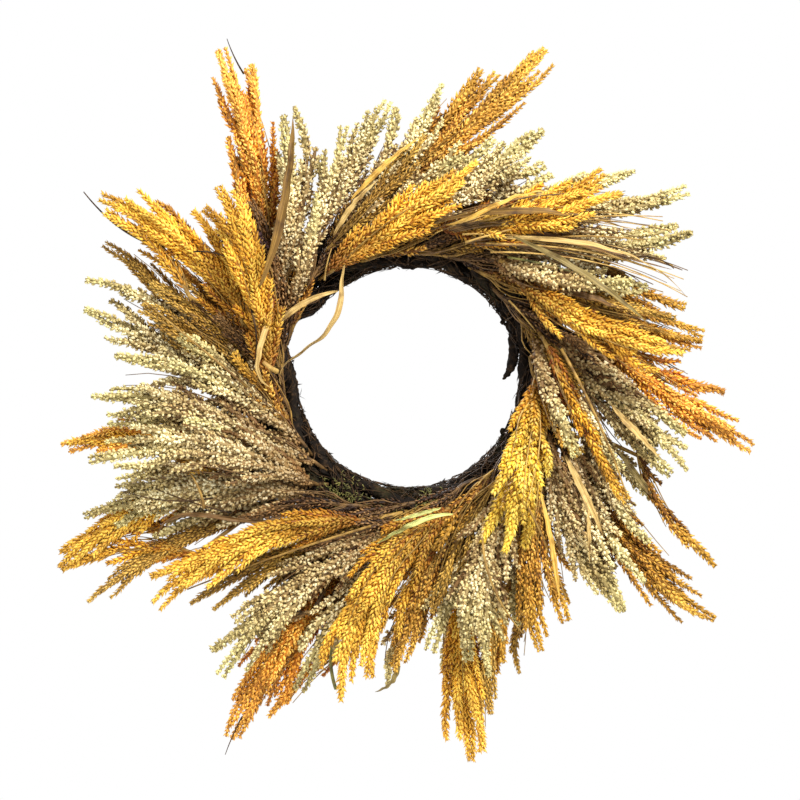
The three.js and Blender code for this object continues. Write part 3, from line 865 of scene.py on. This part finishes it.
# name, look, width (mm), twist, then angle, radius and depth (mm) of the points it passes
looseBlades = [
    ("looped_blade", "tan", 5.5, 160, [(118, 112, 40), (124, 100, 52), (131, 87, 56),
                                       (152, 80, 50), (184, 110, 30)]),
    ("crossed_blade", "tan", 5, 60, [(150, 136, 40), (163, 127, 62), (173, 128, 66),
                                     (185, 117, 40)]),
    ("pale_blade_1", "green", 4.5, 30, [(-72, 124, 52), (-80, 121, 64), (-92, 129, 66),
                                        (-101, 146, 60)]),
    ("pale_blade_2", "green", 3.5, 20, [(-76, 116, 48), (-84, 117, 60), (-96, 124, 58)]),
    ("rust_blade_1", "brown", 6, 120, [(78, 134, 58), (62, 156, 76), (46, 188, 78), (33, 226, 60)]),
    ("rust_blade_2", "rust", 6, 100, [(72, 134, 50), (52, 156, 62), (36, 186, 66), (22, 242, 52)]),
    ("tan_blade_1", "tan", 4.5, 120, [(62, 134, 54), (46, 160, 74), (31, 203, 74), (16, 246, 52)]),
    ("rust_blade_3", "rust", 6, 90, [(36, 134, 46), (24, 166, 58), (13, 206, 52)]),
    ("straw_blade_1", "golden", 4, 90, [(76, 132, 56), (66, 150, 74), (58, 178, 76),
                                        (50, 200, 66)]),
    ("straw_blade_2", "golden", 5, 60, [(108, 158, 52), (97, 178, 60), (87, 203, 58)]),
    ("straw_blade_3", "tan", 5, 60, [(118, 136, 46), (108, 152, 56), (99, 168, 54)]),
    ("tan_blade_2", "tan", 6, 60, [(-8, 176, 40), (-14, 200, 52), (-18, 226, 46)]),
    ("tan_blade_3", "tan", 3.5, 50, [(-36, 190, 50), (-42, 206, 60), (-46, 222, 52)]),
    ("rust_blade_4", "rust", 4, 60, [(-132, 160, 40), (-143, 200, 52), (-149, 236, 50),
                                     (-146, 262, 44)]),
    ("grey_blade", "olive", 6, 40, [(-20, 196, 16), (-24, 220, 20), (-27, 242, 16)]),
    ("tip_blade", "olive", 5, 60, [(-92, 238, 30), (-93, 262, 34), (-96, 274, 30)]),
]


def smoothPath(points, s):
    points = np.asarray(points, float)
    gaps = np.linalg.norm(np.diff(points, axis=0), axis=1)
    steps = np.concatenate([[0], np.cumsum(gaps)])
    fit = np.polyfit(steps / steps[-1], points, len(points) - 1)
    return np.stack([np.polyval(fit[:, k], s) for k in range(3)], axis=-1)


def ringPath(places):
    return np.array([onRing(angle, radius / 1000, -depth / 1000)
                     for angle, radius, depth in places])


def makeBlade(name, look, path, width, twist, seed):
    rng = np.random.default_rng(seed)
    deselectAll()
    bpy.ops.mesh.primitive_grid_add(x_subdivisions=bladeLook["steps"],
                                    y_subdivisions=bladeLook["ribs"], size=1)
    obj = bpy.context.object
    obj.name = name
    obj.data.name = name
    flat = np.array([v.co for v in obj.data.vertices], float)
    s, w = flat[:, 0] + 0.5, flat[:, 1] * 2
    middle = smoothPath(path, s)
    across, through = crossAxes(unit(smoothPath(path, s + 0.01) - middle))
    turn = np.radians(twist) * (s - 0.3) + bladeLook["curl"] * wave(rng, s, 5, 9)
    cos, sin = np.cos(turn)[:, None], np.sin(turn)[:, None]
    across, through = across * cos + through * sin, through * cos - across * sin
    half = width / 2 * np.interp(s, *bladeStops)
    ripple = bladeLook["ripple"] * np.sin(s * bladeLook["ripples"] + rng.uniform(*anyPhase))
    ripple = ripple * w ** 2 * (half / (width / 2))
    rise = -bladeLook["fold"] * np.abs(w) * half + ripple
    points = middle + (w * half)[:, None] * across + rise[:, None] * through
    obj.data.vertices.foreach_set("co", points.astype(np.float32).ravel())
    obj.data.update()
    thicker = obj.modifiers.new("thickness", "SOLIDIFY")
    thicker.thickness = bladeLook["thick"]
    thicker.offset = 0
    bpy.ops.object.modifier_apply(modifier=thicker.name)
    smoothed(obj, 1)
    obj.data.materials.append(leafLooks[look])
    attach(obj, "wreath")
    return obj


for number, (node, (look, share, twist)) in enumerate(leafKinds.items()):
    line = readLine(node)
    path = along(line, np.linspace(0, 1, 4))
    blade = makeBlade(node + "_blade", look, path, share * line["wide"], twist, 300 + number)
    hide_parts(node)
for number, (name, look, width, twist, places) in enumerate(looseBlades):
    makeBlade(name, look, ringPath(places), width / 1000, twist, 340 + number)
print("leaves made")

# bare twigs, stems and straws: thickness (mm) at the foot and the tip, then angle, radius
# and depth (mm) of the points
twigs = {
    "dark_twigs": (rootlet, [
        (1.4, 0.5, [(152, 236, 40), (153, 262, 40), (152, 296, 36), (150.4, 322, 30)]),
        (0.9, 0.3, [(118.5, 300, 14), (118.5, 320, 14), (118.2, 334, 14)]),
        (0.8, 0.3, [(-116, 330, 14), (-116, 350, 14), (-115.8, 366, 14)]),
        (0.9, 0.4, [(-148, 196, 52), (-152, 226, 56), (-158, 262, 50)]),
        (0.9, 0.4, [(-142, 190, 52), (-150, 214, 54), (-156, 236, 50)]),
        (1.0, 0.4, [(28, 214, 56), (26, 230, 56), (22, 244, 52)]),
        (0.8, 0.3, [(150, 210, 62), (147, 180, 64), (158, 150, 60)]),
        (1.1, 0.4, [(157, 144, 64), (166, 132, 66), (176, 132, 50)]),
    ]),
    "amber_stems": (strawDark, [
        (0.6, 1.5, [(-157, 203, 62), (-152, 201, 64), (-147, 206, 62)]),
        (1.2, 0.6, [(70, 134, 52), (58, 160, 70), (44, 206, 68)]),
        (1.2, 0.6, [(56, 134, 52), (44, 168, 66), (30, 230, 60)]),
        (1.4, 0.7, [(10, 132, 56), (-10, 158, 62), (-29, 212, 60)]),
        (1.2, 0.5, [(-46, 130, 50), (-50, 172, 88), (-55, 230, 80)]),
        (1.2, 0.6, [(-62, 136, 52), (-68, 180, 72), (-66, 238, 70)]),
        (1.2, 0.6, [(-104, 132, 48), (-124, 180, 56), (-136, 262, 50)]),
        (1.2, 0.6, [(-176, 138, 44), (172, 180, 50), (164, 236, 44)]),
    ]),
    "pale_twigs": (strawLight, [
        (0.9, 0.5, [(37, 109, 28), (28, 112, 32), (19, 117, 32)]),
        (0.9, 0.5, [(-47, 110, 26), (-52, 109, 30), (-58, 112, 28)]),
        (1.0, 0.5, [(131, 110, 30), (127, 117, 36), (121, 128, 36)]),
        (0.9, 0.4, [(62, 128, 36), (56, 130, 40), (49, 136, 40)]),
        (2.2, 1.9, [(178, 112, 46), (177, 116, 50), (174.5, 124, 52)]),
    ]),
    "green_stems": (moss, [
        (1.4, 1.6, [(-106, 238, 40), (-105, 256, 40), (-103, 276, 36)]),
        (1.0, 0.5, [(50, 132, 50), (38, 152, 58), (28, 176, 56)]),
    ]),
}
sprayLook = {"count": 34, "angle": (56, 82), "radius": (122, 138), "depth": (44, 62),
             "turn": (34, 44), "reach": (186, 256), "thick": (0.5, 1.1), "rise": (2, 14)}


def strawSpray():
    rng = np.random.default_rng(31)
    rows = []
    for i in range(sprayLook["count"]):
        angle, radius, depth, turn, reach, thick, rise = draw(
            rng, sprayLook, "angle", "radius", "depth", "turn", "reach", "thick", "rise")
        middle = (angle - 0.55 * turn, radius + 0.4 * (reach - radius), depth + rise)
        places = [(angle, radius, depth), middle, (angle - turn, reach, depth)]
        rows.append((thick, 0.4 * thick, places))
    return rows


straws = strawSpray()
twigs["tan_straws"] = (strawLight, straws[::3])
twigs["brown_straws"] = (strawBrown, straws[1::3] + straws[2::3])
s = np.linspace(0, 1, 16)
for name, (look, rows) in twigs.items():
    pile = Pile()
    for foot, tip, places in rows:
        pile.add(*tube(smoothPath(ringPath(places), s), np.linspace(foot, tip, 16) / 1000, 7))
    pile.piece(name, [look], "vine_bark" if look is rootlet else "dry_leaf")

# moss on the vines: angle, spread, how far round the bundle, count
mossPatches = [(-118, 16, 0.0, 260), (-80, 8, -0.3, 120), (40, 8, 0.5, 90), (-100, 10, 0.5, 90)]
mossLook = {"length": 0.0060, "width": 0.0011, "lift": 0.001, "alongRing": 0.4, "round": 0.35,
            "stray": 0.6, "size": (0.6, 1.3)}


def makeMoss():
    look = mossLook
    rng = np.random.default_rng(21)
    pile = Pile()
    for angle, spread, offset, count in mossPatches:
        turn = angle + spread * rng.normal(0, look["alongRing"], count)
        lap = -math.pi / 2 + offset + rng.normal(0, look["round"], count)  # -90 is the front
        foot = onBundle(turn, lap, bundleRadius + look["lift"])
        outward = unit(foot - onBundle(turn, lap, 0))
        direction = unit(outward + rng.normal(0, look["stray"], (count, 3)))
        scale = rng.uniform(*look["size"], count)
        pile.add(*scatter("husk", foot, direction, look["length"] * scale,
                          look["width"] * scale, rng.uniform(*anyTurn, count)))
    return pile


makeMoss().piece("moss", [moss], "vine_bark")

# the cluster's place in degrees and mm, and its stalks
berryLook = {"count": 420, "angle": (136, 145), "radius": (160, 208), "depth": (12, 34),
             "size": 0.0036, "spread": (0.7, 1.3), "stalks": 16, "foot": ((138, 148), 0.142, -0.02),
             "tip": ((134, 144), 0.205, -0.026), "bow": 0.006, "thick": 0.0008}


def makeBerries():
    look = berryLook
    rng = np.random.default_rng(23)
    pile = Pile()
    count = look["count"]
    angle = rng.uniform(*look["angle"], count)
    radius = rng.uniform(*look["radius"], count) / 1000
    depth = -rng.uniform(*look["depth"], count) / 1000
    size = look["size"] * rng.uniform(*look["spread"], count)
    points, faces = scatter("bead", onRing(angle, radius, depth), rng.normal(size=(count, 3)),
                            size, size, rng.uniform(*anyTurn, count))
    grain = [rng.random(count), 0.5 * rng.random(count) + 0.3, rng.random(count)]
    grain = np.repeat(np.stack(grain, axis=1), len(seedMeshes["bead"][0]), axis=0)
    pile.add(points, faces, 0, grain)
    s = np.linspace(0, 1, 7)
    for i in range(look["stalks"]):
        foot, tip = (onRing(rng.uniform(*angle), radius, depth)
                     for angle, radius, depth in (look["foot"], look["tip"]))
        bow = look["bow"] * rng.normal(size=3)
        stem = foot + s[:, None] * (tip - foot) + (s * (1 - s))[:, None] * bow
        pile.add(*tube(stem, look["thick"], 4), 1, (0.3, 0.5, 0.3))
    return pile


makeBerries().piece("dark_berries", [seedMaterials["plum_seed"], rootlet], "bronze_seed")
print("twigs, moss and berries made")

floorLook = {"radius": 0.8, "below": 0.24, "colour": (240, 238, 234), "roughness": 0.8}
deselectAll()
bpy.ops.mesh.primitive_circle_add(vertices=64, radius=floorLook["radius"], fill_type="NGON",
                                  location=(0, 0, cadBox[0][2] - floorLook["below"]))
floor = bpy.context.object
floor.name = "pale_floor"
floorMaterial, tree = newMaterial("paleFloor")
surface(tree, paint(*floorLook["colour"]), floorLook["roughness"])
floor.data.materials.append(floorMaterial)

lamps = {  # across, in depth and above the ring's middle; size; power
    "key_lamp": (0.7, -1.3, 1.1, 0.6, 62),
    "back_lamp": (-0.9, 1.5, 0.9, 0.8, 46),
    "fill_lamp": (-1.2, -1.2, 0.2, 1.0, 9),
}
for name, (across, depth, above, size, power) in lamps.items():
    place = Vector((across, depth, ringZ + above))
    bpy.ops.object.light_add(type="AREA", location=place)
    lamp = bpy.context.object
    lamp.name = name
    lamp.data.size = size
    lamp.data.energy = power
    aim = Vector((ringX, 0, ringZ)) - place
    lamp.rotation_euler = aim.to_track_quat("-Z", "Y").to_euler()
    lamp.visible_camera = False

worldLook = {"light": 0.56, "seen": 1.0}  # the room's light, and how bright the room looks
world = bpy.data.worlds.new("paleRoom")
world.use_nodes = True
bpy.context.scene.world = world
tree, white = world.node_tree, (1, 1, 1, 1)
room = tree.nodes["Background"]
fillInputs(tree, room, {"Color": white, "Strength": worldLook["light"]})
seen = addNode(tree, "Background", {"Color": white, "Strength": worldLook["seen"]})
rays = addNode(tree, "LightPath", {})
mixed = addNode(tree, "MixShader", {0: rays.outputs["Is Camera Ray"],
                                    1: room.outputs[0], 2: seen.outputs[0]})
fillInputs(tree, tree.nodes["World Output"], {"Surface": mixed.outputs[0]})
bpy.context.scene.view_settings.view_transform = "Standard"

cameraLook = {"lens": 85, "distance": 1.66, "right": -0.007, "up": -0.0205}
place = (ringX + cameraLook["right"], -cameraLook["distance"], ringZ + cameraLook["up"])
bpy.ops.object.camera_add(location=place, rotation=(math.radians(90), 0, 0))
camera = bpy.context.object
camera.data.lens = cameraLook["lens"]
bpy.context.scene.camera = camera
